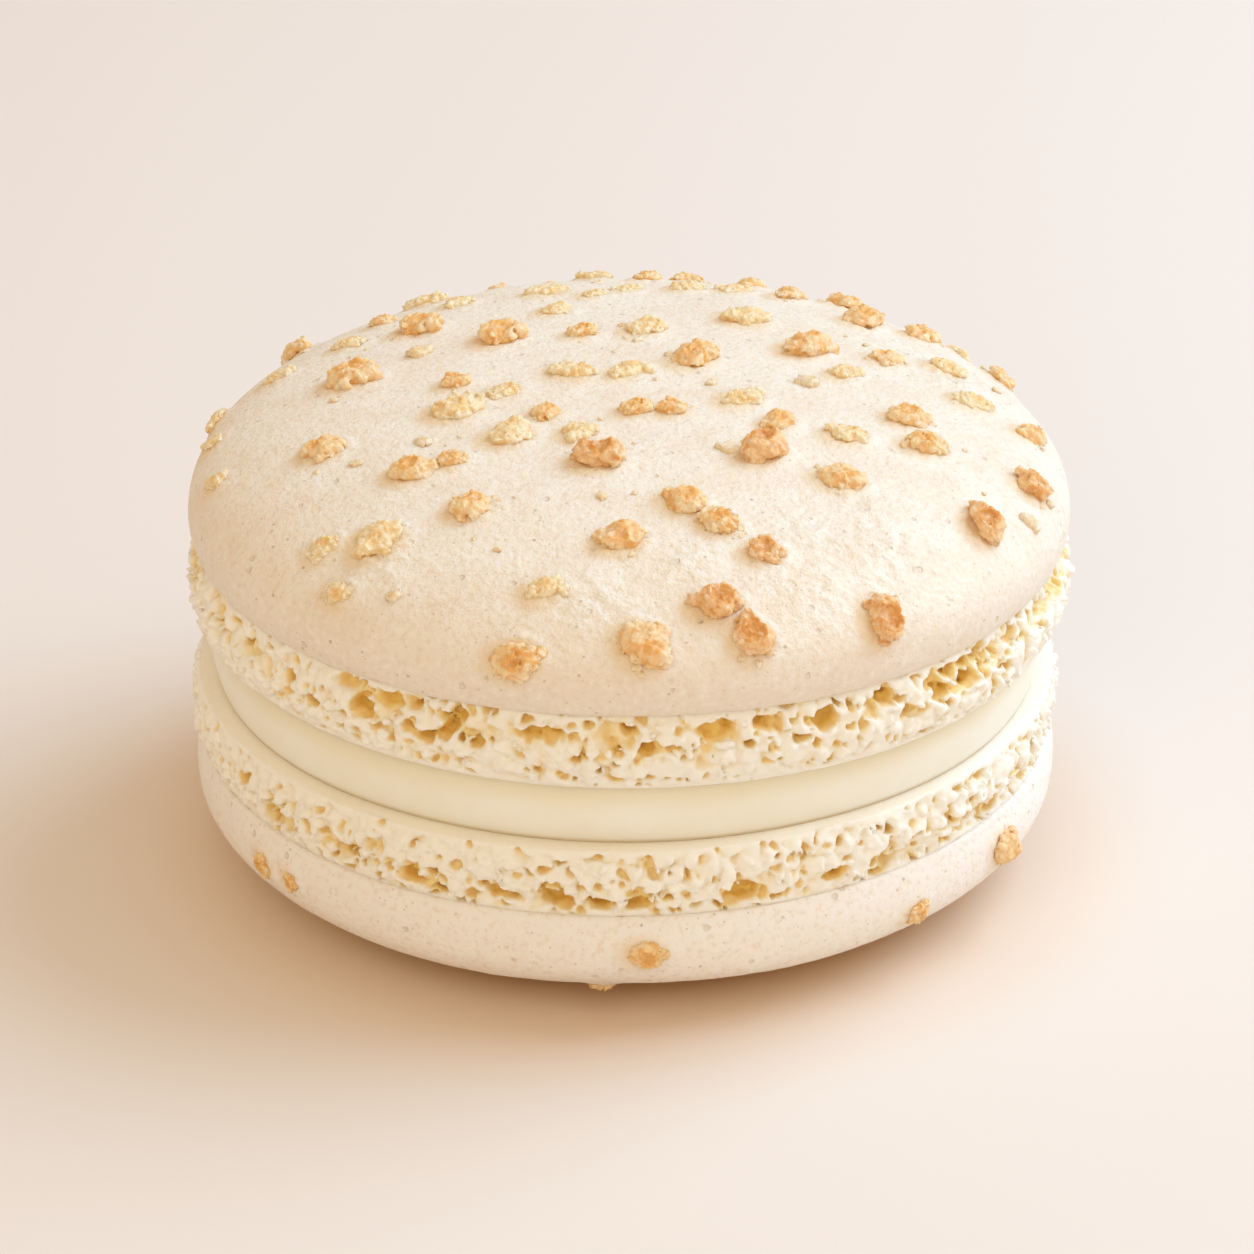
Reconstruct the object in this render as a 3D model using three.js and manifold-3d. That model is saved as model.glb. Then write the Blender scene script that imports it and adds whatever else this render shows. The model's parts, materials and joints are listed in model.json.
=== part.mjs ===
// A French macaron, in millimetres with +Z up: two baked shells turned towards each other,
// each a smooth dome with a torn, porous foot, a flat cream filling between the feet,
// and toasted biscuit crumbs baked onto the skin.

import * as THREE from 'three';
import { mergeVertices } from 'three/addons/utils/BufferGeometryUtils.js';
import Module from 'manifold-3d';

const wasm = await Module();
wasm.setup();

// ---- Driving dimensions -------------------------------------------------------------

const pieceGap = 0.1; // between the filling and each shell

// A shell is measured from the edge of its skin: the dome rises from it, the foot hangs below.
const topShell = {
  domeRadius: 22.4,
  domeHeight: 7.8,
  beltHeight: 1.2, // the widest ring, above the skin edge
  crownPower: 2.2, // 2 is an ellipse, more is flatter on top
  shoulderPower: 2.3,
  flatRadius: 0, // a round crown
  edgeRadius: 22.15,
  lipThickness: 0.25,
  footHeight: 4.1,
  footBulge: 22.55,
  footBulgeAt: 0.45, // part of the way down the foot
  footTopRadius: 21.7,
  footRimRadius: 21.5,
  caverns: 46,
  seed: 11,
};

const bottomShell = {
  domeRadius: 22.15,
  domeHeight: 6.55,
  beltHeight: 1.25,
  crownPower: 3,
  shoulderPower: 3.1,
  flatRadius: 6, // the spot that the macaron rests on
  edgeRadius: 21.95,
  lipThickness: 0.25,
  footHeight: 3.65,
  footBulge: 22.25,
  footBulgeAt: 0.5,
  footTopRadius: 21.6,
  footRimRadius: 21.95,
  caverns: 40,
  seed: 23,
};

const filling = {
  height: 3.2,
  topRadius: 21.25,
  bottomRadius: 21,
  belly: 0.22, // how far the side swells between its edges
};

const topShellShift = 0.2; // the upper shell was set down a little to the right of the lower

const skinSegments = 72;
const footSegments = 2 * skinSegments;
const domeRings = 9;
const footRings = 7;
const cavernDepth = 0.75;
const cavernFlatness = 0.75; // height to width
const cavernRows = {
  underSkin: { down: [0.18, 0.33], halfWidth: [0.63, 1.05] },
  lower: { down: [0.5, 0.8], halfWidth: [0.37, 0.68] },
};
const footRoughness = 0.16;
const lipUndercut = 0.1; // between the skin's edge and its underside
const skinUnevenness = 0.0035; // of the radius

// Crumbs on the upper shell: azimuth in degrees, reach from the axis, length, turn in degrees.
// The toasted ones stand out most, and the pale ones are nearly as light as the skin.
const toastedCrumbs = [
  [-99, 9.1, 2.8, 5], [-50, 10.3, 2.9, 30], [-68, 17.3, 2, 10], [-78, 19.9, 2.6, 10],
  [-74, 21.4, 2.6, -50], [-56, 21.7, 2.6, -60], [-31, 20.2, 2.6, -75], [-15, 20.7, 2.3, -15],
];
const goldenCrumbs = [
  [-140, 13.8, 2.6, 10], [-136, 12, 1.8, 5], [-161, 15.9, 2.5, -5], [170, 14.2, 3.2, 10],
  [138, 8.9, 3, 55], [-121, 14.7, 2.5, 5], [-91, 15.7, 2.7, 10], [-78, 13, 2.6, -35],
  [-73, 14.8, 2.4, -40], [-43, 14.2, 2.7, -10], [-83, 3.8, 2, 30], [-60, 4.4, 1.9, -10],
  [36, 4.1, 3, 35], [28, 10.2, 3.2, 35], [-10, 14.2, 2.5, 15], [-19, 15.6, 2.5, 5],
  [20, 14.1, 2, -5], [36, 18.8, 2.3, 40], [141, 13.8, 2.8, 20], [-135, 5.7, 1.8, 10],
  [-32, 8.9, 2.2, 50], [1, 20.3, 2, 30], [-104, 22, 2.7, -5], [-88, 21.4, 3, -45],
  [111, 6.4, 1.9, 30], [180, 8.6, 1.9, 10], [42, 16.4, 2.9, 50], [60, 16.7, 2.3, 55],
  [138, 17.2, 1.6, 0],
];
const paleCrumbs = [
  [-160, 9.1, 3.2, 10], [-133, 8.5, 2.9, 20], [-111, 6.6, 2.2, 20], [-26, 12.1, 2.4, 0],
  [-22, 6.1, 2.5, 25], [89, 0.7, 2.4, 30], [5, 17.5, 2.4, 15], [-168, 6.3, 2, 5],
  [55, 10.6, 3, -25], [82, 6.6, 2.6, 40], [19, 17.2, 2.2, 0], [107, 14.2, 2.5, 0],
  [69, 15.7, 2.1, 15], [78, 14.8, 2.2, 35], [98, 12.7, 1.7, 30], [111, 10.4, 2, 10],
  [124, 15.7, 2, 10], [178, 21, 1.6, -5], [161, 19, 1.9, 10], [-102, 19.1, 2.1, 10],
  [-131, 21.3, 1.8, -15], [-138, 19.8, 2, 5], [-131, 18.4, 3.2, 0], [-169, 21, 1.6, -30],
  [10, 11.1, 2, 40], [165, 2.8, 2.6, -20], [90, 13.8, 1.8, 25], [150, 16.6, 2, 5],
];

// The far slope carries the same kinds of crumbs, strewn at random, the largest first.
const strewnCrumbs = {
  count: 13, seed: 5, largest: 2.7, smallest: 1.7, from: 12, to: 168, innerReach: 16, outerReach: 21.8,
};
const crumbClearance = 0.5;

// The lower shell has only a few crumbs, around its side.
const lowerCrumbs = [
  [-87, 22.14, 2.1, 0], [-49, 22.05, 1.5, 0], [-31, 22.14, 2.5, 90], [-144, 22.14, 1.6, 15],
  [-138, 22.14, 1.3, 20], [-93, 19.4, 1.6, 0], [62, 22.1, 2, 40], [150, 22, 1.8, 0],
];

const crumbWidth = 0.78; // of its length
const crumbHeight = 0.5;
const crumbLift = 0.03; // of its length, from the skin up to its middle
const crumbRaggedness = 0.3;

// ---- Helpers ------------------------------------------------------------------------

// A repeatable sequence of numbers from 0 to 1
function seededRandom(seed) {
  let state = seed;
  return () => {
    state = (state * 48271) % 2147483647;
    return state / 2147483647;
  };
}

// A closed body through rings of points, from its top point to its bottom point. Neighbouring
// rings have as many points, or one has twice as many, or one is a single point.
function ringedSolid(rings) {
  const vertices = rings.flat().flatMap((point) => point.toArray());
  const indices = [];
  let start = 0;
  for (let ring = 0; ring + 1 < rings.length; ring += 1) {
    const upper = rings[ring].length;
    const lower = rings[ring + 1].length;
    const next = start + upper;
    const steps = Math.max(upper, lower);
    for (let step = 0; step < steps; step += 1) {
      const upperHere = start + Math.floor((step * upper) / steps);
      const upperThere = start + (Math.floor(((step + 1) * upper) / steps) % upper);
      const lowerHere = next + Math.floor((step * lower) / steps);
      const lowerThere = next + (Math.floor(((step + 1) * lower) / steps) % lower);
      if (lowerHere !== lowerThere) {
        indices.push(upperHere, lowerHere, lowerThere);
      }
      if (upperHere !== upperThere) {
        indices.push(upperHere, lowerThere, upperThere);
      }
    }
    start = next;
  }
  const geometry = new THREE.BufferGeometry();
  geometry.setAttribute('position', new THREE.Float32BufferAttribute(vertices, 3));
  geometry.setIndex(indices);
  return geometry;
}

function toManifold(geometry) {
  const mesh = new wasm.Mesh({
    numProp: 3,
    vertProperties: new Float32Array(geometry.attributes.position.array),
    triVerts: new Uint32Array(geometry.index.array),
  });
  return new wasm.Manifold(mesh);
}

function fromManifold(solid) {
  const mesh = solid.getMesh();
  const geometry = new THREE.BufferGeometry();
  geometry.setAttribute('position', new THREE.BufferAttribute(mesh.vertProperties, 3));
  geometry.setIndex(new THREE.BufferAttribute(mesh.triVerts, 1));
  return geometry;
}

// ---- Shells -------------------------------------------------------------------------

// How far down its curve a point of the dome lies, by its radius: 0 at the axis, a right angle at the belt
function domeAngle(shell, radius) {
  return Math.asin(Math.min(1, (radius / shell.domeRadius) ** (shell.shoulderPower / 2)));
}

// The dome's outline at such an angle
function domeOutline(shell, angle) {
  const flatEdge = Math.cos(domeAngle(shell, shell.flatRadius));
  const rise = (Math.cos(angle) / flatEdge) ** (2 / shell.crownPower);
  const radius = shell.domeRadius * Math.sin(angle) ** (2 / shell.shoulderPower);
  return { radius, height: shell.beltHeight + (shell.domeHeight - shell.beltHeight) * Math.min(1, rise) };
}

// The foot's outline: 0 is just under the skin, 1 is its flat face.
function footRadius(shell, down) {
  if (down < shell.footBulgeAt) {
    const inward = 1 - down / shell.footBulgeAt;
    return shell.footBulge - (shell.footBulge - shell.footTopRadius) * inward ** 2;
  }
  const inward = (down - shell.footBulgeAt) / (1 - shell.footBulgeAt);
  return shell.footBulge - (shell.footBulge - shell.footRimRadius) * inward ** 2.5;
}

// No shell bakes quite round.
function roundness(shell, azimuth) {
  const phase = shell.seed;
  const slow = Math.sin(2 * azimuth + phase) + 0.6 * Math.sin(3 * azimuth + 2 * phase);
  return 1 + skinUnevenness * (slow + 0.35 * Math.sin(7 * azimuth + 3 * phase));
}

function makeRing(segments, height, radiusAt) {
  return Array.from({ length: segments }, (_, step) => {
    const azimuth = (step / segments) * 2 * Math.PI;
    const radius = radiusAt(azimuth);
    return new THREE.Vector3(radius * Math.cos(azimuth), radius * Math.sin(azimuth), height);
  });
}

// Torn caverns all round the foot, in two rows
function makeCaverns(shell, random) {
  return Array.from({ length: shell.caverns }, (_, index) => {
    const row = index % 3 > 0 ? cavernRows.underSkin : cavernRows.lower;
    return {
      azimuth: ((index + 0.7 * random()) / shell.caverns) * 2 * Math.PI,
      down: THREE.MathUtils.lerp(...row.down, random()),
      halfWidth: THREE.MathUtils.lerp(...row.halfWidth, random()),
    };
  });
}

function cavernDepthAt(shell, caverns, azimuth, down) {
  let depth = 0;
  for (const cavern of caverns) {
    const turn = Math.atan2(Math.sin(azimuth - cavern.azimuth), Math.cos(azimuth - cavern.azimuth));
    const across = (turn * shell.footBulge) / cavern.halfWidth;
    const along = ((down - cavern.down) * shell.footHeight) / (cavernFlatness * cavern.halfWidth);
    depth = Math.max(depth, 1 - across ** 2 - along ** 2);
  }
  return cavernDepth * Math.sqrt(depth);
}

function makeShell(shell) {
  const random = seededRandom(shell.seed);
  const caverns = makeCaverns(shell, random);
  const rings = [[new THREE.Vector3(0, 0, shell.domeHeight)]];
  const flatAngle = domeAngle(shell, shell.flatRadius);
  for (let ring = shell.flatRadius > 0 ? 0 : 1; ring <= domeRings; ring += 1) {
    const angle = THREE.MathUtils.lerp(flatAngle, Math.PI / 2, ring / domeRings);
    const outline = domeOutline(shell, angle);
    rings.push(makeRing(skinSegments, outline.height, (azimuth) => (
      outline.radius * roundness(shell, azimuth))));
  }
  const lip = [[shell.lipThickness, shell.edgeRadius], [0, shell.edgeRadius - lipUndercut]];
  for (const [height, radius] of lip) {
    rings.push(makeRing(footSegments, height, (azimuth) => radius * roundness(shell, azimuth)));
  }
  for (let ring = 0; ring <= footRings; ring += 1) {
    const down = ring / footRings;
    const rim = ring === footRings;
    rings.push(makeRing(footSegments, -shell.footHeight * down, (azimuth) => {
      const rough = footRoughness * (2 * random() - 1);
      const depth = rim ? 0 : cavernDepthAt(shell, caverns, azimuth, down);
      return footRadius(shell, down) * roundness(shell, azimuth) + rough - depth;
    }));
  }
  rings.push([new THREE.Vector3(0, 0, -shell.footHeight)]);
  return toManifold(ringedSolid(rings));
}

// ---- Crumbs -------------------------------------------------------------------------

// Where a crumb lies on a dome, and the way out of the skin there
function placeOnDome(shell, azimuthDegrees, reach) {
  const azimuth = THREE.MathUtils.degToRad(azimuthDegrees);
  const angle = domeAngle(shell, reach);
  const here = domeOutline(shell, angle);
  const above = domeOutline(shell, angle - 0.01);
  const slope = Math.atan2(here.radius - above.radius, above.height - here.height);
  const outward = new THREE.Vector3(Math.cos(azimuth), Math.sin(azimuth), 0);
  const normal = outward.clone().multiplyScalar(Math.cos(slope));
  normal.z = Math.sin(slope);
  const point = outward.multiplyScalar(here.radius);
  point.z = here.height;
  return { point, normal };
}

// The strewn crumbs keep clear of the placed ones and of each other.
function strewCrumbs(strewn, placed) {
  const random = seededRandom(strewn.seed);
  const all = placed.slice();
  while (all.length < placed.length + strewn.count) {
    const done = (all.length - placed.length) / strewn.count;
    const length = strewn.largest + (strewn.smallest - strewn.largest) * done;
    const azimuth = strewn.from + (strewn.to - strewn.from) * random();
    const reach = Math.sqrt(THREE.MathUtils.lerp(strewn.innerReach ** 2, strewn.outerReach ** 2, random()));
    const clear = all.every(([otherAzimuth, otherReach, otherLength]) => {
      const turn = THREE.MathUtils.degToRad(azimuth - otherAzimuth);
      const apart = Math.hypot(reach - otherReach * Math.cos(turn), otherReach * Math.sin(turn));
      return apart > (length + otherLength) / 2 + crumbClearance;
    });
    if (clear) {
      all.push([azimuth, reach, length, 180 * random()]);
    }
  }
  return all;
}

// A ragged lump of 20 faces, partly sunk in the skin
function makeCrumb(shell, [azimuth, reach, length, turnDegrees], random) {
  const lump = new THREE.IcosahedronGeometry(0.5, 0);
  lump.deleteAttribute('normal');
  lump.deleteAttribute('uv');
  const geometry = mergeVertices(lump, 1e-4);
  const points = geometry.attributes.position;
  for (let index = 0; index < points.count; index += 1) {
    const stretch = 1 + crumbRaggedness * (random() - 0.5);
    const point = new THREE.Vector3().fromBufferAttribute(points, index).multiplyScalar(stretch);
    points.setXYZ(index, point.x, point.y, point.z);
  }
  const { point, normal } = placeOnDome(shell, azimuth, reach);
  const upright = new THREE.Quaternion().setFromUnitVectors(new THREE.Vector3(0, 0, 1), normal);
  geometry.scale(length, length * crumbWidth, length * crumbHeight);
  geometry.rotateZ(THREE.MathUtils.degToRad(turnDegrees));
  geometry.applyQuaternion(upright);
  const middle = point.addScaledVector(normal, length * crumbLift);
  geometry.translate(middle.x, middle.y, middle.z);
  return toManifold(geometry);
}

function addCrumbs(solid, shell, crumbs) {
  const random = seededRandom(shell.seed + 1);
  return crumbs.reduce((joined, crumb) => joined.add(makeCrumb(shell, crumb, random)), solid);
}

// ---- Filling ------------------------------------------------------------------------

function makeFilling() {
  const height = filling.height - 2 * pieceGap;
  const rows = 4;
  const rings = [[new THREE.Vector3(0, 0, height)]];
  for (let row = 0; row <= rows; row += 1) {
    const down = row / rows;
    const swell = filling.belly * Math.sin(Math.PI * down);
    const radius = THREE.MathUtils.lerp(filling.topRadius, filling.bottomRadius, down) + swell;
    rings.push(makeRing(skinSegments, height * (1 - down), (azimuth) => (
      radius * roundness(bottomShell, azimuth))));
  }
  rings.push([new THREE.Vector3(0, 0, 0)]);
  return ringedSolid(rings);
}

// ---- Scene graph --------------------------------------------------------------------

function piece(name, geometry, color, height) {
  geometry.computeVertexNormals();
  const material = new THREE.MeshStandardMaterial({ color, roughness: 0.75, metalness: 0 });
  const mesh = new THREE.Mesh(geometry, material);
  mesh.name = name;
  mesh.position.z = height;
  return mesh;
}

const topCrumbs = strewCrumbs(strewnCrumbs, [...toastedCrumbs, ...goldenCrumbs, ...paleCrumbs]);
const topSolid = addCrumbs(makeShell(topShell), topShell, topCrumbs);

const bottomEdgeHeight = bottomShell.domeHeight;
const fillingHeight = bottomEdgeHeight + bottomShell.footHeight;
const topEdgeHeight = fillingHeight + filling.height + topShell.footHeight;

// The lower shell is made like the upper one, then turned over about the X axis.
const crumbsBelow = lowerCrumbs.map(([azimuth, ...rest]) => [-azimuth, ...rest]);
const bottomSolid = addCrumbs(makeShell(bottomShell), bottomShell, crumbsBelow).rotate([180, 0, 0]);

const top = piece('top_shell', fromManifold(topSolid), 0xeee0c9, topEdgeHeight);
top.position.x = topShellShift;
const macaron = new THREE.Group();
macaron.add(piece('bottom_shell', fromManifold(bottomSolid), 0xeee0c9, bottomEdgeHeight));
macaron.add(piece('filling', makeFilling(), 0xf0e4c6, fillingHeight + pieceGap));
macaron.add(top);

// The origin is under the middle of the whole, on the surface it rests on.
const box = new THREE.Box3().setFromObject(macaron);
const middle = box.getCenter(new THREE.Vector3());
macaron.position.set(-middle.x, -middle.y, -box.min.z);

export default macaron;
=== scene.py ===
import json
import math
import random

import bpy
import numpy as np
from mathutils import Matrix, Vector

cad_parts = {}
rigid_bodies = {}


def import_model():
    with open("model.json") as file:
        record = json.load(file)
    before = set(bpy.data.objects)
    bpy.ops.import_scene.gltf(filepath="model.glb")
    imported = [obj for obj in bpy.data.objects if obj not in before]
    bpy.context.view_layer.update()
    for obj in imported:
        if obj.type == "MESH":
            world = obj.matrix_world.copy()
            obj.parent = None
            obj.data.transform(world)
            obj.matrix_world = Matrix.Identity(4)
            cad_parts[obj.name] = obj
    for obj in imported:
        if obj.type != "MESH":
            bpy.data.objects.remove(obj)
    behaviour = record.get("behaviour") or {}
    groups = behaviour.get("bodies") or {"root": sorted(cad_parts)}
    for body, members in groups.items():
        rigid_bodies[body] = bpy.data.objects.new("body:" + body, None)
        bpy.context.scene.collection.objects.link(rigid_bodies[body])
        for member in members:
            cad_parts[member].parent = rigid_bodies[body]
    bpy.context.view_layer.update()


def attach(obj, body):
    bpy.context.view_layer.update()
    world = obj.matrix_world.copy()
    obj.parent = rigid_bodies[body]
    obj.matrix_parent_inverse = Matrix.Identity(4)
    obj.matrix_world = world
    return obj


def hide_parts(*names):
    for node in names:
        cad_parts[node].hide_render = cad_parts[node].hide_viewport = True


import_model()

mm = 0.001
lowerAxis = Vector((-0.2127, -0.0861, 0.0))  # of the lower shell and the filling, in millimetres
upperAxis = lowerAxis + Vector((0.2, 0.0, 0.0))  # the upper shell sits a little to the right

# A shell is made with the edge of its skin at height 0, its dome up and its foot hanging down.
topShell = {
    "axis": upperAxis, "edgeHeight": 17.5, "turnedOver": False, "seed": 11,
    "domeRadius": 22.4, "domeHeight": 7.8, "beltHeight": 1.2, "flatRadius": 0.0,
    "crownPower": 2.2, "shoulderPower": 2.3,  # 2 is an ellipse, more is squarer
}
bottomShell = {
    "axis": lowerAxis, "edgeHeight": 6.55, "turnedOver": True, "seed": 23,
    "domeRadius": 22.15, "domeHeight": 6.55, "beltHeight": 1.25, "flatRadius": 6.0,
    "crownPower": 3.0, "shoulderPower": 3.1,
}
unevenness = 0.0035  # of the radius, as no shell bakes quite round


def deselectAll():
    bpy.ops.object.select_all(action="DESELECT")


def onlySelect(piece):
    deselectAll()
    piece.select_set(True)
    bpy.context.view_layer.objects.active = piece


def applyModifier(piece, kind, **settings):
    onlySelect(piece)
    modifier = piece.modifiers.new(kind.title(), kind)
    for name, value in settings.items():
        setattr(modifier, name, value)
    bpy.ops.object.modifier_apply(modifier=modifier.name)


def triangleCount(piece):
    piece.data.calc_loop_triangles()
    return len(piece.data.loop_triangles)


def thinTo(piece, triangles):
    count = triangleCount(piece)
    if count > triangles:
        applyModifier(piece, "DECIMATE", ratio=triangles / count)
        piece.data.validate()  # takes out the faces that fell together


def meshPoints(mesh):
    points = np.empty(len(mesh.vertices) * 3)
    mesh.vertices.foreach_get("co", points)
    return points.reshape(-1, 3)


def movePoints(mesh, points):
    mesh.vertices.foreach_set("co", points.ravel())


def startEditing(piece, selectBy):  # with nothing selected yet
    onlySelect(piece)
    bpy.ops.object.mode_set(mode="EDIT")
    bpy.ops.mesh.select_mode(type=selectBy)
    bpy.ops.mesh.select_all(action="DESELECT")


def stopEditing():
    bpy.ops.object.mode_set(mode="OBJECT")


def turnFacesOutward():
    bpy.ops.mesh.select_all(action="SELECT")
    bpy.ops.mesh.normals_make_consistent(inside=False)


def keepBody(piece, near):  # drops the bits that hang loose from the body near a point
    body = np.linalg.norm(meshPoints(piece.data) - np.array(near), axis=1).argmin()
    startEditing(piece, "VERT")
    stopEditing()
    piece.data.vertices[int(body)].select = True
    bpy.ops.object.mode_set(mode="EDIT")
    bpy.ops.mesh.select_linked()
    bpy.ops.mesh.select_all(action="INVERT")
    bpy.ops.mesh.delete(type="VERT")
    stopEditing()


def shadeSmooth(piece, creaseAngle=180):  # in degrees, where an edge begins to show
    onlySelect(piece)
    if creaseAngle < 180:
        bpy.ops.object.shade_smooth_by_angle(angle=math.radians(creaseAngle))
    else:
        bpy.ops.object.shade_smooth()
    print(piece.name, triangleCount(piece), "triangles")


def domeAngle(shell, radius):
    return math.asin(min(1.0, (radius / shell["domeRadius"]) ** (shell["shoulderPower"] / 2)))


def domeOutline(shell, angle):  # radius and height at an angle from the crown
    flatEdge = math.cos(domeAngle(shell, shell["flatRadius"]))
    rise = (np.cos(angle) / flatEdge).clip(0.0, 1.0) ** (2 / shell["crownPower"])
    radius = shell["domeRadius"] * np.sin(angle) ** (2 / shell["shoulderPower"])
    return radius, shell["beltHeight"] + (shell["domeHeight"] - shell["beltHeight"]) * rise


def ripple(azimuth, phase, sine):  # round the shell, for numbers or for sockets, with their own sine
    slow = sine(azimuth * 2 + phase) + sine(azimuth * 3 + 2 * phase) * 0.6
    return slow + sine(azimuth * 7 + 3 * phase) * 0.35


def seatPiece(piece, shell):  # from the shell's own frame, in millimetres, to its place, in metres
    turn = Matrix.Rotation(math.pi if shell["turnedOver"] else 0.0, 4, "X")
    place = Matrix.Translation(mm * (shell["axis"] + Vector((0, 0, shell["edgeHeight"]))))
    piece.data.transform(place @ turn @ Matrix.Scale(mm, 4))
    piece.data.update()


class Field:  # a socket that takes part in sums, in a tree of geometry or shader nodes
    def __init__(self, tree, socket):
        self.tree = tree
        self.socket = socket

    def math(self, operation, *others):
        node = self.tree.nodes.new("ShaderNodeMath")
        node.operation = operation
        for place, value in enumerate((self, *others)):
            plug(self.tree, node.inputs[place], value)
        return Field(self.tree, node.outputs[0])

    def __add__(self, other):
        return self.math("ADD", other)

    def __sub__(self, other):
        return self.math("SUBTRACT", other)

    def __mul__(self, other):
        return self.math("MULTIPLY", other)

    def __truediv__(self, other):
        return self.math("DIVIDE", other)

    def below(self, other):  # other - self
        return self.math("MULTIPLY_ADD", -1.0, other)

    def vector(self, operation, other=None):
        node = self.tree.nodes.new("ShaderNodeVectorMath")
        node.operation = operation
        plug(self.tree, node.inputs[0], self)
        plug(self.tree, node.inputs["Scale" if operation == "SCALE" else 1], other)
        return Field(self.tree, node.outputs[1 if operation in ("LENGTH", "DOT_PRODUCT") else 0])

    def split(self):
        node = self.tree.nodes.new("ShaderNodeSeparateXYZ")
        plug(self.tree, node.inputs[0], self)
        return [Field(self.tree, output) for output in node.outputs]

    def ramp(self, low, high, start=0.0, end=1.0):  # eases from start to end between low and high
        node = self.tree.nodes.new("ShaderNodeMapRange")
        node.interpolation_type = "SMOOTHSTEP"
        for name, value in (("Value", self), ("From Min", low), ("From Max", high),
                            ("To Min", start), ("To Max", end)):
            plug(self.tree, node.inputs[name], value)
        return Field(self.tree, node.outputs["Result"])


def plug(tree, socket, value):
    if isinstance(value, Field):
        tree.links.new(value.socket, socket)
    elif value is not None:
        socket.default_value = value


def joinAxes(tree, x, y, z):
    node = tree.nodes.new("ShaderNodeCombineXYZ")
    for socket, value in zip(node.inputs, (x, y, z)):
        plug(tree, socket, value)
    return Field(tree, node.outputs[0])


def noise(tree, place, size, detail=2.0, roughness=0.5, output="Fac"):
    node = tree.nodes.new("ShaderNodeTexNoise")
    plug(tree, node.inputs["Vector"], place)
    node.inputs["Scale"].default_value = 1 / size
    node.inputs["Detail"].default_value = detail
    node.inputs["Roughness"].default_value = roughness
    return Field(tree, node.outputs[output])


def warped(tree, place, size, amount):
    swirl = noise(tree, place, size, 1.0, 0.5, "Color").vector("SUBTRACT", (0.5, 0.5, 0.5))
    return place.vector("ADD", swirl.vector("SCALE", amount))


def cells(tree, place, size, feature="F1"):  # the distance in the place's units, and a random draw
    node = tree.nodes.new("ShaderNodeTexVoronoi")
    node.feature = feature
    plug(tree, node.inputs["Vector"], place)
    node.inputs["Scale"].default_value = 1 / size
    distance = Field(tree, node.outputs["Distance"]) * size
    return distance, Field(tree, node.outputs["Color"]).split()[0] if feature == "F1" else None


def newGeometryTree(name):
    tree = bpy.data.node_groups.new(name, "GeometryNodeTree")
    tree.interface.new_socket("Geometry", in_out="INPUT", socket_type="NodeSocketGeometry")
    tree.interface.new_socket("Geometry", in_out="OUTPUT", socket_type="NodeSocketGeometry")
    return tree


def geometryNode(tree, kind, geometry=None, settings=None, **inputs):
    node = tree.nodes.new(kind)
    for name, value in (settings or {}).items():
        setattr(node, name, value)
    if geometry is not None:
        tree.links.new(geometry, node.inputs[0])
    for name, value in inputs.items():
        plug(tree, node.inputs[name.replace("_", " ")], value)
    return node.outputs[0]


def closeTree(tree, geometry):
    tree.links.new(geometry, tree.nodes.new("NodeGroupOutput").inputs[0])


def positionField(tree):
    return Field(tree, tree.nodes.new("GeometryNodeInputPosition").outputs[0])


def meshSolid(tree, solid, low, high, voxel):  # the surface where a distance field crosses 0
    steps = {axis: round((end - start) / voxel) + 1 for axis, start, end in zip("XYZ", low, high)}
    volume = geometryNode(
        tree, "GeometryNodeVolumeCube", Min=low, Max=high, Resolution_X=steps["X"],
        Resolution_Y=steps["Y"], Resolution_Z=steps["Z"],
        Density=(solid / (-3 * voxel) + 0.5).math("MAXIMUM", 0.0).math("MINIMUM", 1.0))
    return geometryNode(tree, "GeometryNodeVolumeToMesh", volume, Threshold=0.5)


def storeField(tree, geometry, name, value):
    return geometryNode(tree, "GeometryNodeStoreNamedAttribute", geometry,
                        {"data_type": "FLOAT", "domain": "POINT"}, Name=name, Value=value)


def growMesh(name, tree):  # a mesh made by a node tree alone
    bpy.ops.mesh.primitive_plane_add(size=1)
    piece = bpy.context.object
    piece.name = piece.data.name = name
    applyModifier(piece, "NODES", node_group=tree)
    piece.data.materials.clear()
    return piece


# Heights in a foot are shares of its height, from 0 under the skin's lip to 1 at its flat end.
topFoot = {
    "height": 4.1, "bulge": 22.5, "bulgeAt": 0.45, "topRadius": 21.8, "rimRadius": 21.5,
    "crack": (0.12, 0.36), "crackSwing": 0.3, "crackDepth": 0.45, "crackAbove": 0.5,
    "caverns": (0.06, 0.12, 0.42, 0.56), "cavernSize": 1.4, "cavernShare": 0.2,
    "pores": (0.0, 0.06, 0.5, 0.7), "poreShare": 0.3,
    "hollows": [  # azimuth in degrees, place down the foot, width, height
        (-154, 0.28, 0.8, 0.8), (-138, 0.36, 0.9, 0.8), (-133, 0.49, 1.1, 0.8), (-122, 0.2, 1.9, 0.8),
        (-116, 0.48, 1.1, 0.8), (-112, 0.18, 1.8, 0.7), (-109, 0.43, 1.0, 0.8), (-101, 0.23, 2.6, 0.7),
        (-91, 0.43, 0.8, 0.5), (-87, 0.34, 0.7, 0.5), (-79, 0.22, 2.2, 1.1), (-73, 0.18, 1.5, 0.7),
        (-75, 0.4, 0.7, 0.5), (-65, 0.24, 1.6, 1.1), (-68, 0.42, 1.0, 0.5), (-56, 0.2, 1.2, 1.0),
        (-49, 0.22, 0.9, 0.7), (-39, 0.2, 0.8, 0.6),
    ],
}
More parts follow.
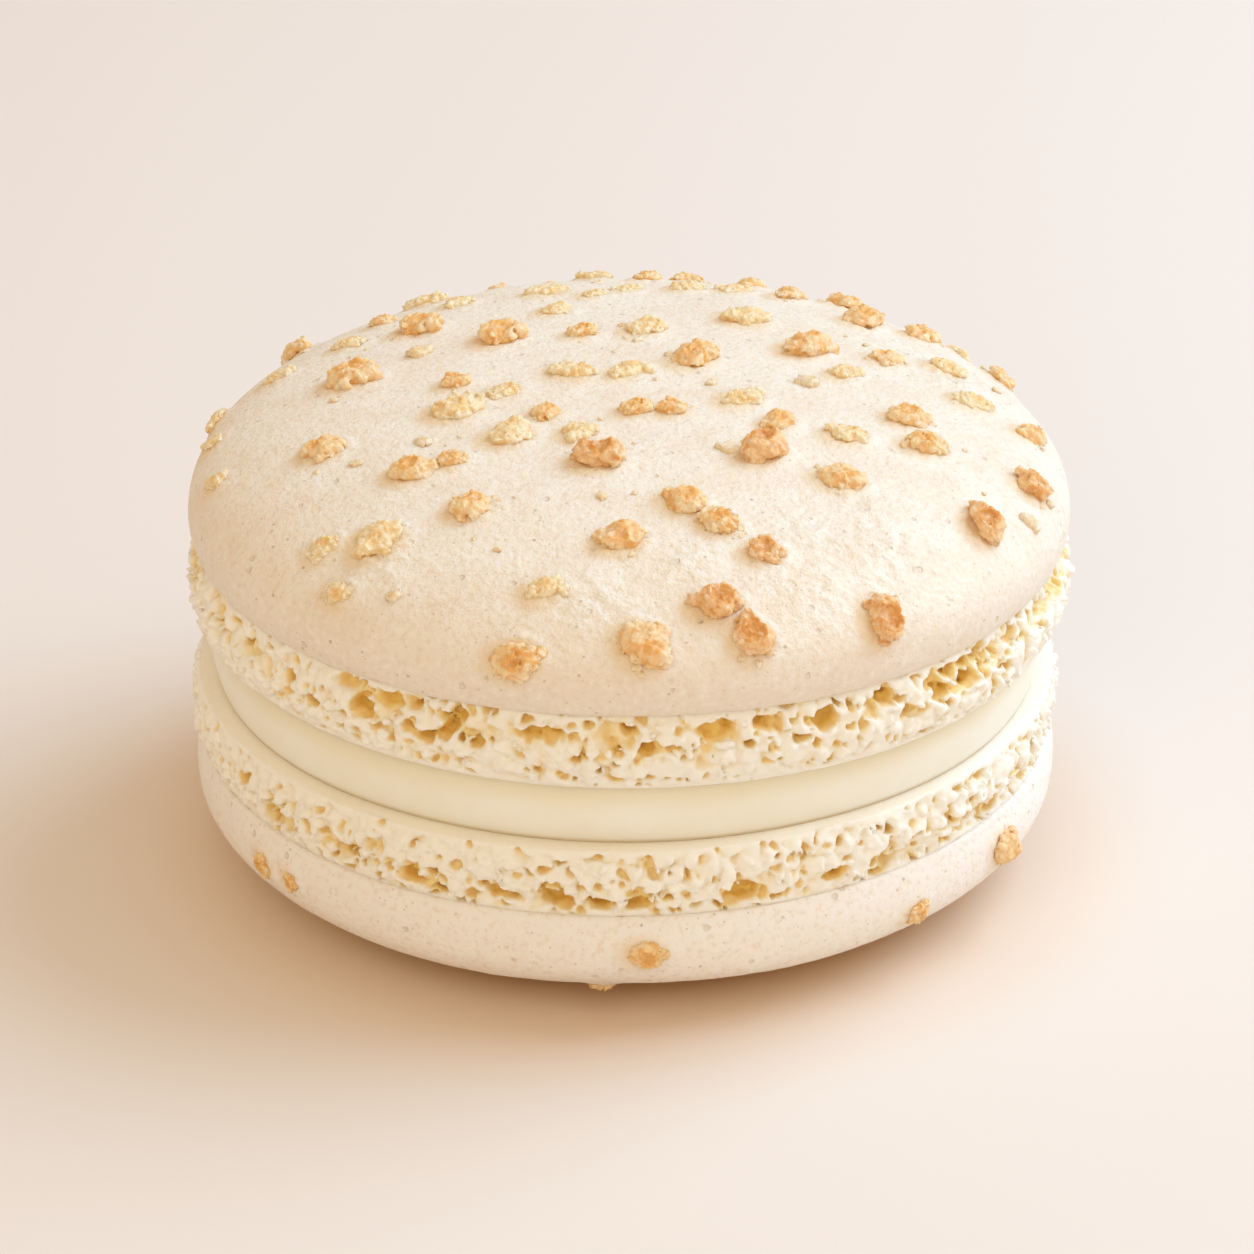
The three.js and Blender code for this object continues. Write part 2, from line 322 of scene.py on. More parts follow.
bottomFoot = {
    "height": 3.65, "bulge": 22.2, "bulgeAt": 0.5, "topRadius": 21.7, "rimRadius": 21.95,
    "crack": (0.1, 0.42), "crackSwing": 0.3, "crackDepth": 0.45, "crackAbove": 0.5,
    "caverns": (0.04, 0.1, 0.44, 0.56), "cavernSize": 1.2, "cavernShare": 0.15,
    "pores": (0.0, 0.05, 0.5, 0.7), "poreShare": 0.3,
    "hollows": [
        (-164, 0.6, 0.7, 0.5), (-150, 0.54, 1.0, 0.7), (-142, 0.43, 1.3, 0.9), (-138, 0.3, 1.2, 0.8),
        (-129, 0.32, 1.2, 0.8), (-118, 0.3, 1.8, 1.0), (-114, 0.18, 0.9, 0.5), (-106, 0.28, 1.4, 0.9),
        (-99, 0.24, 1.6, 1.0), (-93, 0.2, 1.2, 0.8), (-88, 0.22, 1.5, 0.7), (-81, 0.18, 1.0, 0.6),
        (-75, 0.27, 2.1, 1.2), (-70, 0.13, 0.9, 0.5), (-62, 0.28, 1.5, 0.8), (-56, 0.2, 1.0, 0.6),
    ],
}
foam = {
    "voxel": 0.1, "triangles": 195000, "stripRadius": 22.0, "innerRadius": 20.4, "innerWall": 20.75,
    "tuckedUnderSkin": 0.4, "relief": 1.0, "flatFrom": 0.84, "paleFrom": 0.955,
    "knob": 0.8, "knobRise": 0.42, "bead": 0.4, "beadRise": 0.35, "fuzz": 0.4, "fuzzRise": 0.25,
    "lump": 2.2, "lumpRise": 0.5, "web": 0.09, "hollowNoise": 0.7, "hollowRagged": 0.7,
    "cavernDepth": 0.9, "cavernTaper": 0.2, "backWallNoise": 0.7, "backWallRagged": 0.9,
    "poreSize": 0.9, "poreDepth": 0.6, "poreTaper": 0.25,
    "roundPore": 0.62, "roundPoreRadius": (0.03, 0.34), "roundPoreDepth": 0.42, "roundPoreTaper": 0.3,
}


def footHull(shell, foot, azimuth, down):  # the radius of the foot before it has any relief
    above = (down / foot["bulgeAt"]).below(1.0).math("MAXIMUM", 0.0)
    under = ((down - foot["bulgeAt"]) / (1 - foot["bulgeAt"])).math("MAXIMUM", 0.0)
    hull = (above.math("POWER", 2.0) * (foot["bulge"] - foot["topRadius"])).below(foot["bulge"])
    hull = hull - under.math("POWER", 2.5) * (foot["bulge"] - foot["rimRadius"])
    waves = ripple(azimuth, shell["seed"], lambda field: field.math("SINE"))
    return hull * (waves * unevenness + 1.0)


def foamBumps(tree, place, size, rise):  # round on top, with clefts between
    distance, _ = cells(tree, place, size)
    half = size / 2
    return (distance * distance).below(half ** 2) * (rise / half)


def foamGrain(tree, random3d, down):  # fades out towards the flat end
    swirled = warped(tree, random3d, 1.1, 1.0)
    grain = foamBumps(tree, swirled, foam["knob"], foam["knobRise"])
    grain = grain + foamBumps(tree, swirled, foam["bead"], foam["beadRise"])
    fuzz = (noise(tree, random3d, foam["fuzz"]) - 0.5) * foam["fuzzRise"]
    return (grain + fuzz) * down.ramp(foam["flatFrom"], 1.0, 1.0, 0.08)


def footCrack(tree, foot, ring, down, ragged):  # where the foot tore from the lip, and how much it did
    start, end = foot["crack"]
    low = (noise(tree, ring, 1.5, 3.0, 0.6) - 0.5) * foot["crackSwing"] + ragged + end
    high = (noise(tree, ring, 0.8) - 0.5) * 0.3 + start
    torn = noise(tree, ring, 6.0, 1.0).ramp(foot["crackAbove"] - 0.06, foot["crackAbove"] + 0.06)
    return (down - high).ramp(-0.08, 0.08) * (down - low).ramp(-0.04, 0.02, 1.0, 0.0) * torn, torn


def placeHollows(tree, shell, foot, cavern, azimuth, up, across):  # the same on both halves of the ring
    halfway = azimuth.math("MODULO", math.pi) * foam["stripRadius"]
    uneven = (noise(tree, across, foam["hollowNoise"], 3.0) - 0.5) * foam["hollowRagged"]
    for angle, share, wide, tall in foot["hollows"]:
        middle = math.radians((-angle if shell["turnedOver"] else angle) % 180) * foam["stripRadius"]
        aside = (halfway - middle) * (tall / wide)
        gap = joinAxes(tree, aside, up + share * foot["height"], 0.0).vector("LENGTH")
        cavern = cavern.math("SMOOTH_MAX", gap.below(tall / 2) + uneven, 0.1)
    return cavern


def footPores(tree, foot, across, down, inward):
    wall, _ = cells(tree, across, foam["poreSize"], "DISTANCE_TO_EDGE")
    _, draw = cells(tree, across, foam["poreSize"])
    start, full, fading, end = foot["pores"]
    zone = down.ramp(start, full) * down.ramp(fading, end, 1.0, 0.0)
    zone = zone * draw.ramp(0.96 - foot["poreShare"], 1.04 - foot["poreShare"])
    pore = wall - (zone.below(1.0) * 0.5 + foam["web"]) - inward * foam["poreTaper"]
    return pore.math("MINIMUM", inward.below(foam["poreDepth"]))


def roundPores(tree, across, down, inward):
    distance, draw = cells(tree, across, foam["roundPore"])
    pore = draw.ramp(0.0, 1.0, *foam["roundPoreRadius"]) * down.ramp(0.88, 1.0, 1.0, 0.5) - distance
    pore = pore - inward.math("MAXIMUM", 0.0) * foam["roundPoreTaper"]
    return pore.math("MINIMUM", inward.below(foam["roundPoreDepth"]))


def foamTree(shell, foot):
    tree = newGeometryTree("foam")
    bending = foam["stripRadius"]  # the ring is grown as a straight strip, then bent round
    along, outward, up = positionField(tree).split()
    azimuth = along / bending
    radius = outward + bending
    cosine, sine = azimuth.math("COSINE"), azimuth.math("SINE")
    place = joinAxes(tree, radius * cosine, radius * sine, up)
    down = up / -foot["height"]
    seed = shell["seed"]
    random3d = place.vector("ADD", (seed * 3.0, seed * 1.7, seed * 2.3))
    ring = joinAxes(tree, cosine * bending, sine * bending, seed * 1.0)

    grain = foamGrain(tree, random3d, down)
    lump = noise(tree, random3d, foam["lump"]) - 0.5
    lump = lump * down.ramp(foam["flatFrom"], 1.0, foam["lumpRise"], 0.04)
    lumpy = footHull(shell, foot, azimuth, down) + (grain + lump) * down.ramp(0.0, 0.15)
    ragged = (noise(tree, random3d, 0.8) - 0.5) * 0.25
    recess, torn = footCrack(tree, foot, ring, down, ragged)
    outside = radius - (lumpy - recess * foot["crackDepth"])
    inward = outside * -1

    # The hollows run straight in from the outer face, and narrow inward, so that light reaches them.
    across = warped(tree, ring.vector("ADD", joinAxes(tree, 0.0, 0.0, up)), 0.9, 0.9)
    wall, _ = cells(tree, across, foot["cavernSize"], "DISTANCE_TO_EDGE")
    _, draw = cells(tree, across, foot["cavernSize"])
    start, full, fading, end = foot["caverns"]
    zone = down.ramp(start, full) * (down + ragged).ramp(fading, end, 1.0, 0.0)
    zone = zone * (draw + torn * 0.25).ramp(1.08 - foot["cavernShare"], 1.16 - foot["cavernShare"])
    cavern = wall - (zone.below(1.0) * 0.9 + foam["web"])
    cavern = placeHollows(tree, shell, foot, cavern, azimuth, up, across)
    backWall = (noise(tree, random3d, foam["backWallNoise"]) - 0.5) * foam["backWallRagged"]
    backWall = backWall + foam["cavernDepth"]
    cavern = (cavern - inward * foam["cavernTaper"]).math("MINIMUM", backWall - inward)
    hollow = cavern.math("SMOOTH_MAX", footPores(tree, foot, across, down, inward), 0.04)
    hollow = hollow.math("SMOOTH_MAX", roundPores(tree, across, down, inward), 0.03)
    hollow = hollow.math("MINIMUM", radius - foam["innerWall"])

    solid = outside.math("SMOOTH_MAX", hollow, 0.08)
    solid = solid.math("MAXIMUM", up - foam["tuckedUnderSkin"])
    solid = solid.math("MAXIMUM", up.below(-foot["height"]))
    solid = solid.math("MAXIMUM", radius.below(foam["innerRadius"]))

    voxel = foam["voxel"]
    length = 2 * math.pi * bending
    spare = 4 * length / round(length / voxel)  # the strip's ends overlap, to be trimmed alike
    corner = (-spare, foam["innerRadius"] - bending - 2 * voxel, -foot["height"] - 2 * voxel)
    opposite = (length + spare, foot["bulge"] - bending + foam["relief"],
                foam["tuckedUnderSkin"] + 2 * voxel)
    skin = meshSolid(tree, solid, corner, opposite, voxel)
    beyond = (along * -1).math("GREATER_THAN", 0.0) + along.math("GREATER_THAN", length)
    skin = geometryNode(tree, "GeometryNodeDeleteGeometry", skin, {"domain": "FACE"}, Selection=beyond)
    # The depth below the outer face drives painted shade and warm glow in the pores, caverns, crack and
    # clefts; it fades out at the flat end.
    depth = inward + recess * 0.15 + grain.below(0.05) * 0.6  # the clefts are tinted too
    depth = depth * down.ramp(foam["paleFrom"], 0.985, 1.0, 0.0)
    depth = depth * radius.ramp(foam["innerRadius"] + 0.05, foam["innerRadius"] + 0.25)
    skin = storeField(tree, skin, "depth", depth)
    skin = geometryNode(tree, "GeometryNodeSetPosition", skin, Position=place)
    closeTree(tree, geometryNode(tree, "GeometryNodeMergeByDistance", skin, Distance=voxel / 20))
    return tree


def makeFoot(name, shell, foot):
    piece = growMesh(name, foamTree(shell, foot))
    keepBody(piece, (foam["innerRadius"], 0.0, -0.5 * foot["height"]))
    print(name, "foam", triangleCount(piece), "triangles")
    thinTo(piece, foam["triangles"])
    seatPiece(piece, shell)
    shadeSmooth(piece)
    return piece


# Where the crumbs lie: azimuth in degrees, reach from the axis, length, turn in degrees.
crumbRows = {
    "toasted": [
        (-99, 9.1, 2.8, 5), (-50, 10.3, 2.9, 30), (-68, 17.3, 2, 10), (-78, 19.9, 2.6, 10),
        (-74, 21.4, 2.6, -50), (-56, 21.7, 2.6, -60), (-31, 20.2, 2.6, -75), (-15, 20.7, 2.3, -15),
    ],
    "golden": [
        (-140, 13.8, 2.6, 10), (-136, 12, 1.8, 5), (-161, 15.9, 2.5, -5), (170, 14.2, 3.2, 10),
        (138, 8.9, 3, 55), (-121, 14.7, 2.5, 5), (-91, 15.7, 2.7, 10), (-78, 13, 2.6, -35),
        (-73, 14.8, 2.4, -40), (-43, 14.2, 2.7, -10), (-83, 3.8, 2, 30), (-60, 4.4, 1.9, -10),
        (36, 4.1, 3, 35), (28, 10.2, 3.2, 35), (-10, 14.2, 2.5, 15), (-19, 15.6, 2.5, 5),
        (20, 14.1, 2, -5), (36, 18.8, 2.3, 40), (141, 13.8, 2.8, 20), (-135, 5.7, 1.8, 10),
        (-32, 8.9, 2.2, 50), (1, 20.3, 2, 30), (-104, 22, 2.7, -5), (-88, 21.4, 3, -45),
        (111, 6.4, 1.9, 30), (180, 8.6, 1.9, 10), (42, 16.4, 2.9, 50), (60, 16.7, 2.3, 55),
        (138, 17.2, 1.6, 0),
    ],
    "pale": [
        (-160, 9.1, 3.2, 10), (-133, 8.5, 2.9, 20), (-111, 6.6, 2.2, 20), (-26, 12.1, 2.4, 0),
        (-22, 6.1, 2.5, 25), (89, 0.7, 2.4, 30), (5, 17.5, 2.4, 15), (-168, 6.3, 2, 5),
        (55, 10.6, 3, -25), (82, 6.6, 2.6, 40), (19, 17.2, 2.2, 0), (107, 14.2, 2.5, 0),
        (69, 15.7, 2.1, 15), (78, 14.8, 2.2, 35), (98, 12.7, 1.7, 30), (111, 10.4, 2, 10),
        (124, 15.7, 2, 10), (178, 21, 1.6, -5), (161, 19, 1.9, 10), (-102, 19.1, 2.1, 10),
        (-131, 21.3, 1.8, -15), (-138, 19.8, 2, 5), (-131, 18.4, 3.2, 0), (-169, 21, 1.6, -30),
        (10, 11.1, 2, 40), (165, 2.8, 2.6, -20), (90, 13.8, 1.8, 25), (150, 16.6, 2, 5),
    ],
}
strewnCrumbs = {"count": 13, "seed": 5, "largest": 2.7, "smallest": 1.7, "from": 12, "to": 168,
                "innerReach": 16, "outerReach": 21.8, "clearance": 0.5}
lowerCrumbs = [(-87, 22.14, 2.1, 0), (-49, 22.05, 1.5, 0), (-31, 22.14, 2.5, 90), (-144, 22.14, 1.6, 15),
               (-138, 22.14, 1.3, 20), (-93, 19.4, 1.6, 0), (62, 22.1, 2, 40), (150, 22, 1.8, 0)]
smallBits = [(-123, 20.7, 1.0, 5), (2, 9.1, 1.4, 45), (-57, 9.2, 1.6, 50), (-22, 21.3, 1.3, -15),
             (156, 11.7, 1.5, 0), (-149, 11.8, 1.1, 0), (-152, 15.2, 0.9, 0), (-96, 12.3, 0.8, 0)]


def seededDraw(seed):  # a repeatable run of numbers from 0 to 1
    state = seed
    while True:
        state = state * 48271 % 2147483647
        yield state / 2147483647


def strewCrumbs(placed):  # the far slope's crumbs, the largest first, clear of each other
    strewn = strewnCrumbs
    draw = seededDraw(strewn["seed"])
    everyCrumb = list(placed)
    while len(everyCrumb) < len(placed) + strewn["count"]:
        done = (len(everyCrumb) - len(placed)) / strewn["count"]
        length = strewn["largest"] + (strewn["smallest"] - strewn["largest"]) * done
        azimuth = strewn["from"] + (strewn["to"] - strewn["from"]) * next(draw)
        share = next(draw)
        reach = math.sqrt(strewn["innerReach"] ** 2 * (1 - share) + strewn["outerReach"] ** 2 * share)
        here = Vector((reach, 0))
        clear = True
        for otherAzimuth, otherReach, otherLength, _ in everyCrumb:
            turn = math.radians(azimuth - otherAzimuth)
            apart = (here - otherReach * Vector((math.cos(turn), math.sin(turn)))).length
            clear = clear and apart > (length + otherLength) / 2 + strewn["clearance"]
        if clear:
            everyCrumb.append((azimuth, reach, length, 180 * next(draw)))
    return everyCrumb[len(placed):]


def crumbSeat(shell, azimuth, reach, turn):  # a frame on the skin, its Z axis out of the skin
    angle = domeAngle(shell, reach)
    radius, height = domeOutline(shell, angle)
    radiusAbove, heightAbove = domeOutline(shell, angle - 0.01)
    slope = math.atan2(radius - radiusAbove, heightAbove - height)
    outward = Vector((math.cos(math.radians(azimuth)), math.sin(math.radians(azimuth)), 0))
    normal = outward * math.cos(slope) + Vector((0, 0, math.sin(slope)))
    upright = Vector((0, 0, 1)).rotation_difference(normal).to_matrix().to_4x4()
    place = Matrix.Translation(outward * radius + Vector((0, 0, height)))
    return place @ upright @ Matrix.Rotation(math.radians(turn), 4, "Z")


placedCrumbs = [row for rows in crumbRows.values() for row in rows]
for number, row in enumerate(strewCrumbs(placedCrumbs)):
    crumbRows["pale" if number % 3 == 1 else "golden"].append(row)
crumbSeats = {
    kind: [(crumbSeat(topShell, azimuth, reach, turn), length) for azimuth, reach, length, turn in rows]
    for kind, rows in {**crumbRows, "small": smallBits}.items()
}
crumbSeats["lower"] = [
    (crumbSeat(bottomShell, -azimuth, reach, turn), length)
    for azimuth, reach, length, turn in lowerCrumbs
]
topSeats = crumbSeats["toasted"] + crumbSeats["golden"] + crumbSeats["pale"]

# A crumb shape is grown at one length, of a few angular bits baked together, then sized and placed.
crumb = {"length": 2.6, "width": 0.78, "voxel": 0.065, "facets": 9, "lobes": 4, "lobeFacets": 6,
         "sunk": 0.35, "swirl": 0.9, "swirlReach": 0.55, "relief": 0.11, "shard": 0.4, "shardShare": 2.5,
         "grain": 0.25, "grainShare": 3.5, "bowlRadius": 0.8, "spare": 0.3, "triangles": 190000}
crumbForms = {  # half of the thickness, the rise of the middle above the skin, how deep a hollow
    "toasted": {"thickness": 0.75, "rise": 0.42, "hollow": 0.45, "shapes": 5, "seed": 3},
    "golden": {"thickness": 0.6, "rise": 0.24, "hollow": 0.25, "shapes": 7, "seed": 20},
    "pale": {"thickness": 0.45, "rise": 0.12, "hollow": 0.12, "shapes": 7, "seed": 40},
}
grit = {"triangles": 260, "seed": 41, "bitsPerCrumb": (1, 4), "size": (0.25, 0.6),
        "loose": 34, "looseSize": (0.3, 0.9), "reach": 21.9}


def randomDirection(draw):
    direction = Vector((draw.gauss(0, 1), draw.gauss(0, 1), draw.gauss(0, 1)))
    return direction.normalized()


def facetedBit(place, draw, middle, half, facets):  # below 0 inside a bit broken off flat all round
    local = place.vector("SUBTRACT", middle)
    unit = local.vector("MULTIPLY", (1 / half.x, 1 / half.y, 1 / half.z))
    bit = (unit.vector("LENGTH") - 1.0) * half.z
    for _ in range(facets):
        normal = randomDirection(draw)
        reach = (normal * half).length * draw.uniform(0.7, 0.95)
        bit = bit.math("SMOOTH_MAX", local.vector("DOT_PRODUCT", normal) - reach, 0.12)
    return bit


def crumbTree(form, seed):
    tree = newGeometryTree("crumb")
    draw = random.Random(seed)
    position = positionField(tree)
    shifted = position.vector("ADD", (seed * 3.1, seed * 1.3, seed * 0.7))
    swirl = noise(tree, shifted, crumb["swirl"], 2.0, 0.6, "Color").vector("SUBTRACT", (0.5, 0.5, 0.5))
    place = position.vector("ADD", swirl.vector("SCALE", crumb["swirlReach"]))
    half = Vector((0.5 * crumb["length"], 0.5 * crumb["length"] * crumb["width"], form["thickness"]))
    top = form["rise"] + form["thickness"]
    solid = facetedBit(place, draw, (0, 0, form["rise"]), 0.94 * half, crumb["facets"])
    for _ in range(crumb["lobes"]):
        around = draw.uniform(0, 2 * math.pi)
        reach = draw.uniform(0.55, 0.85)
        middle = (reach * half.x * math.cos(around), reach * half.y * math.sin(around),
                  draw.uniform(-0.1, 0.5) * form["thickness"])
        size = draw.uniform(0.3, 0.55) * Vector((1, 1, 0.8))
        lobe = facetedBit(place, draw, middle, size, crumb["lobeFacets"])
        solid = solid.math("SMOOTH_MIN", lobe, 0.04)
    bowl = Vector((draw.uniform(-0.35, 0.1), draw.uniform(-0.35, 0.0),
                   top + draw.uniform(0.75, 0.9) - form["hollow"]))
    cut = place.vector("SUBTRACT", bowl).vector("LENGTH").below(crumb["bowlRadius"])
    solid = solid.math("SMOOTH_MAX", cut, 0.08)
    shard, _ = cells(tree, shifted, crumb["shard"])
    grain = noise(tree, shifted, crumb["grain"], 3.0, 0.65) - 0.5
    solid = solid + (shard - 0.16) * crumb["shardShare"] * crumb["relief"]
    solid = solid - grain * crumb["relief"] * crumb["grainShare"]
    x, y, z = position.split()
    solid = solid.math("MAXIMUM", z.below(-crumb["sunk"]))
    spare = crumb["spare"]
    corner = (-half.x - spare, -half.y - spare, -crumb["sunk"] - 0.1)
    skin = meshSolid(tree, solid, corner, (half.x + spare, half.y + spare, top + spare), crumb["voxel"])
    reachShare = joinAxes(tree, x / half.x, y / half.y, 0.0).vector("LENGTH")
    rim = reachShare.ramp(0.62, 0.95) * noise(tree, shifted, 0.8).ramp(0.42, 0.58)
    skin = storeField(tree, skin, "rim", rim)
    # painted shade: darker in the bowl, in the clefts between shards and towards the base on the skin
    paintedShade = cut.ramp(-0.15, 0.02) + shard.ramp(0.16, 0.3) * 0.5 + z.ramp(-0.05, 0.4, 0.45, 0.0)
    closeTree(tree, storeField(tree, skin, "paintedShade", paintedShade))
    return tree


def makeShapes(kind):
    form = crumbForms[kind]
    shapes = [growMesh(kind + "Shape", crumbTree(form, form["seed"] + number))
              for number in range(form["shapes"])]
    for shape in shapes:
        keepBody(shape, (0.0, 0.0, -crumb["sunk"]))
    return shapes


def copyShape(shape, place):
    copy = shape.copy()
    copy.data = shape.data.copy()
    copy.data.transform(place)
    bpy.context.collection.objects.link(copy)
    return copy


def joinAll(name, parts):
    deselectAll()
    for part in parts:
        part.select_set(True)
    bpy.context.view_layer.objects.active = parts[0]
    bpy.ops.object.join()
    parts[0].name = parts[0].data.name = name
    return parts[0]


def finishCrumbs(name, parts, shell):
    piece = joinAll(name, parts)
    thinTo(piece, crumb["triangles"])
    seatPiece(piece, shell)
    shadeSmooth(piece)
    return piece


def placeShapes(name, shapes, seats, shell):
    parts = []
    for number, (seat, length) in enumerate(seats):
        half = Matrix.Rotation(math.pi * (number % 2), 4, "Z")
        parts.append(copyShape(shapes[number % len(shapes)],
                               seat @ half @ Matrix.Scale(length / crumb["length"], 4)))
    return finishCrumbs(name, parts, shell)


def makeGrit(shapes):  # fine pale grit beside the crumbs, and loose bits all over
    draw = random.Random(grit["seed"])
    for shape in shapes:
        thinTo(shape, grit["triangles"])
    parts = []

    def addBit(seat, offset, size):
        turn = Matrix.Rotation(draw.uniform(0, 2 * math.pi), 4, "Z")
        stretch = Matrix.Diagonal((*(size * Vector((1, 1, draw.uniform(0.8, 1.5))) / crumb["length"]), 1))
        parts.append(copyShape(draw.choice(shapes), seat @ Matrix.Translation(offset) @ turn @ stretch))

    for seat, length in crumbSeats["toasted"] + crumbSeats["golden"]:
        side = draw.uniform(0, 2 * math.pi)
        for _ in range(draw.randint(*grit["bitsPerCrumb"])):
            around = side + draw.uniform(-1.3, 1.3)
            reach = length * draw.uniform(0.42, 0.6)
            addBit(seat, (reach * math.cos(around), crumb["width"] * reach * math.sin(around), 0.0),
                   draw.uniform(*grit["size"]))
    for seat, length in crumbSeats["small"]:
        addBit(seat, (0, 0, 0), length)
    for _ in range(grit["loose"]):
        seat = crumbSeat(topShell, draw.uniform(0, 360), grit["reach"] * math.sqrt(draw.random()), 0)
        smallest, largest = grit["looseSize"]
        addBit(seat, (0, 0, 0), smallest + (largest - smallest) * draw.random() ** 2)
    return finishCrumbs("crumb_grit", parts, topShell)


def makeAllCrumbs():
    shapes = {kind: makeShapes(kind) for kind in crumbForms}
    made = {kind: placeShapes(kind + "_crumbs", shapes[kind], crumbSeats[kind], topShell)
            for kind in crumbForms}
    made["lower"] = placeShapes("lower_crumbs", shapes["golden"], crumbSeats["lower"], bottomShell)
    made["grit"] = makeGrit(shapes["pale"])
    for shape in [shape for kind in shapes.values() for shape in kind]:
        bpy.data.objects.remove(shape)
    return made


# A lip has the height and radius of each ring under the belt. A flaky patch has its azimuth in
# degrees, its reach from the axis and its size.
topSkin = {
    "patches": 16, "cuts": 9, "plugRadius": 20.6, "plugDepth": 4.0,
    "lip": ((0.95, 22.38), (0.7, 22.33), (0.48, 22.26), (0.28, 22.17), (0.12, 22.08), (0.03, 21.98),
            (0.0, 21.86), (0.02, 21.2)),
    "flaky": [(-64, 19.6, 2.2), (-50, 19.0, 2.2), (-57, 16.8, 1.8), (-45, 16.5, 1.6), (-128, 19.6, 1.6),
              (-80, 17.0, 1.6), (12, 17.5, 2.0), (-95, 19.5, 1.6)],
}
bottomSkin = {
    "patches": 12, "cuts": 9, "plugRadius": 20.6, "plugDepth": 3.5,
    "lip": ((1.0, 22.13), (0.8, 22.1), (0.6, 22.05), (0.4, 22.0), (0.22, 21.95), (0.08, 21.89),
            (0.0, 21.8), (0.02, 21.2)),
    "flaky": [(75, 21.5, 1.5), (-40, 21.0, 1.6)],
}
# Round each crumb the skin gets a golden tint: partly a baked stain, partly painted shadow and glow, as
# it is shifted to the crumb's shaded side.
stainAndShadow = {"shift": (-0.3, -0.15, 0.0), "reach": 0.5, "width": 0.9, "share": 0.6}  # beside each crumb
skinRelief = {"swell": 8.0, "swellRise": 0.14, "ripple": 1.7, "rippleRise": 0.06,
              "rough": 0.6, "roughRise": 0.04, "flake": 0.9, "flakeRise": 0.28,
              "crumbSeatRise": 0.12, "crumbSeatRough": 0.38}


def shapeDome(mesh, shell):  # from a cube's upper half to the shell's outline
    points = meshPoints(mesh)
    unit = points / np.linalg.norm(points, axis=1)[:, None]
    angle = np.arccos(unit[:, 2].clip(0.0, 1.0))
    azimuth = np.arctan2(unit[:, 1], unit[:, 0])
    radius, height = domeOutline(shell, angle)
    movePoints(mesh, np.stack([radius * np.cos(azimuth), radius * np.sin(azimuth), height], axis=1))


def pressOutOfRound(mesh, shell):
    points = meshPoints(mesh)
    waves = ripple(np.arctan2(points[:, 1], points[:, 0]), shell["seed"], np.sin)
    points[:, :2] *= (1 + unevenness * waves)[:, None]
    movePoints(mesh, points)


def pressFlat(mesh, height):  # the spot that the shell rests on
    points = meshPoints(mesh)
    points[:, 2] = points[:, 2].clip(None, height)
    movePoints(mesh, points)


def extrudeRing(fromHeight, fromRadius, height, radius):
    bpy.ops.mesh.extrude_region_move(TRANSFORM_OT_translate={"value": (0, 0, height - fromHeight)})
    share = radius / fromRadius
    bpy.ops.transform.resize(value=(share, share, 1), center_override=(0, 0, height))


def storeValues(mesh, name, values):
    attribute = mesh.attributes.new(name, "FLOAT", "POINT")
    attribute.data.foreach_set("value", values)


def measureSkin(mesh, shell, seats, patches):  # what the relief and the finish go by, in millimetres
    points = meshPoints(mesh)

    def crumbGap(shift):
        gap = np.full(len(points), 9.0)
        for seat, length in seats:
            inside = (points - np.array(seat.translation) - np.array(shift)) @ np.array(seat.to_3x3())
            inside[:, 1] /= crumb["width"]
            gap = np.minimum(gap, np.linalg.norm(inside, axis=1) - 0.5 * length)
        return gap

    flaky = np.zeros(len(points))
    for azimuth, reach, size in patches:
        middle = np.array(crumbSeat(shell, azimuth, reach, 0).translation)
        away = np.linalg.norm(points - middle, axis=1) / size
        flaky = np.maximum(flaky, np.exp(-away ** 2))
    # the tint share is measured off to the crumbs' shaded side, so it paints their shadow as well as a
    # baked stain
    within = (stainAndShadow["reach"] - crumbGap(stainAndShadow["shift"])).clip(0.0, stainAndShadow["width"])
    storeValues(mesh, "crumbGap", crumbGap((0, 0, 0)))
    storeValues(mesh, "stainAndShadow", stainAndShadow["share"] * within / stainAndShadow["width"])
    storeValues(mesh, "flaky", flaky)
    storeValues(mesh, "fromLip", points[:, 2])


def namedValue(tree, name):
    node = tree.nodes.new("GeometryNodeInputNamedAttribute")
    node.inputs["Name"].default_value = name
    return Field(tree, node.outputs["Attribute"])


def skinReliefTree():  # pushes the skin out or in, by a height in millimetres
    tree = newGeometryTree("skinRelief")
    inlet = tree.nodes.new("NodeGroupInput").outputs[0]
    place = positionField(tree)
    size = skinRelief
    gap, flaky = namedValue(tree, "crumbGap"), namedValue(tree, "flaky")
    rough = noise(tree, place, size["rough"], 3.0, 0.6) - 0.5
    flake, _ = cells(tree, warped(tree, place, 1.5, 1.0), size["flake"])
    height = (noise(tree, place, size["swell"]) - 0.5) * size["swellRise"]
    height = height + (noise(tree, place, size["ripple"], 3.0) - 0.5) * size["rippleRise"]
    height = height + gap.ramp(-0.1, 0.6, size["crumbSeatRise"], 0.0)
    height = height + rough * gap.ramp(0.0, 0.55, size["crumbSeatRough"], 0.0)
    height = height + flaky * ((flake - 0.35) * size["flakeRise"] + rough * 0.3)
    height = height + rough * size["roughRise"]
    normal = Field(tree, tree.nodes.new("GeometryNodeInputNormal").outputs[0])
    closeTree(tree, geometryNode(tree, "GeometryNodeSetPosition", inlet,
                                 Offset=normal.vector("SCALE", height)))
    return tree


